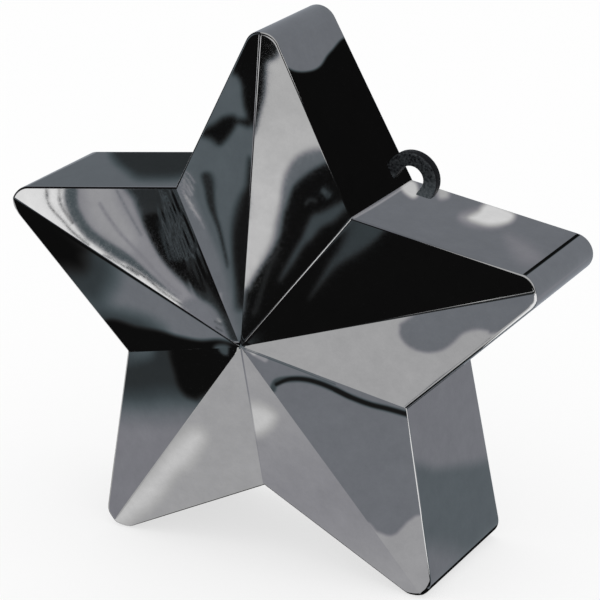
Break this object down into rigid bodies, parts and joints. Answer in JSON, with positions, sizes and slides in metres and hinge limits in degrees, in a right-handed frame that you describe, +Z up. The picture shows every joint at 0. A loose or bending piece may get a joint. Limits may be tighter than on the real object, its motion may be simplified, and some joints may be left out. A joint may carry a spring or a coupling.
{
  "type": "balloon weight",
  "caption": "Faceted star balloon weight: a plated plastic shell filled with cast ballast and closed by a flat back cover, with a tie ring for a ribbon in one valley.",
  "frame": {"origin": "on the ground below the middle of the star, midway between its crown and the back of its feet", "axes": "+X to the star's right as seen from the front, +Y from the faceted front to the flat back, +Z up through the top point"},
  "size_m": [0.0896, 0.032, 0.0855],
  "materials": {
    "plated_shell": "polished",
    "ring_plastic": "satin",
    "cover_plastic": "satin",
    "cast_ballast": "matte"
  },
  "bodies": {
    "root": {"star_shell": "plated_shell", "ribbon_ring": "ring_plastic", "back_cover": "cover_plastic", "ballast_block": "cast_ballast"}
  },
  "joints": []
}
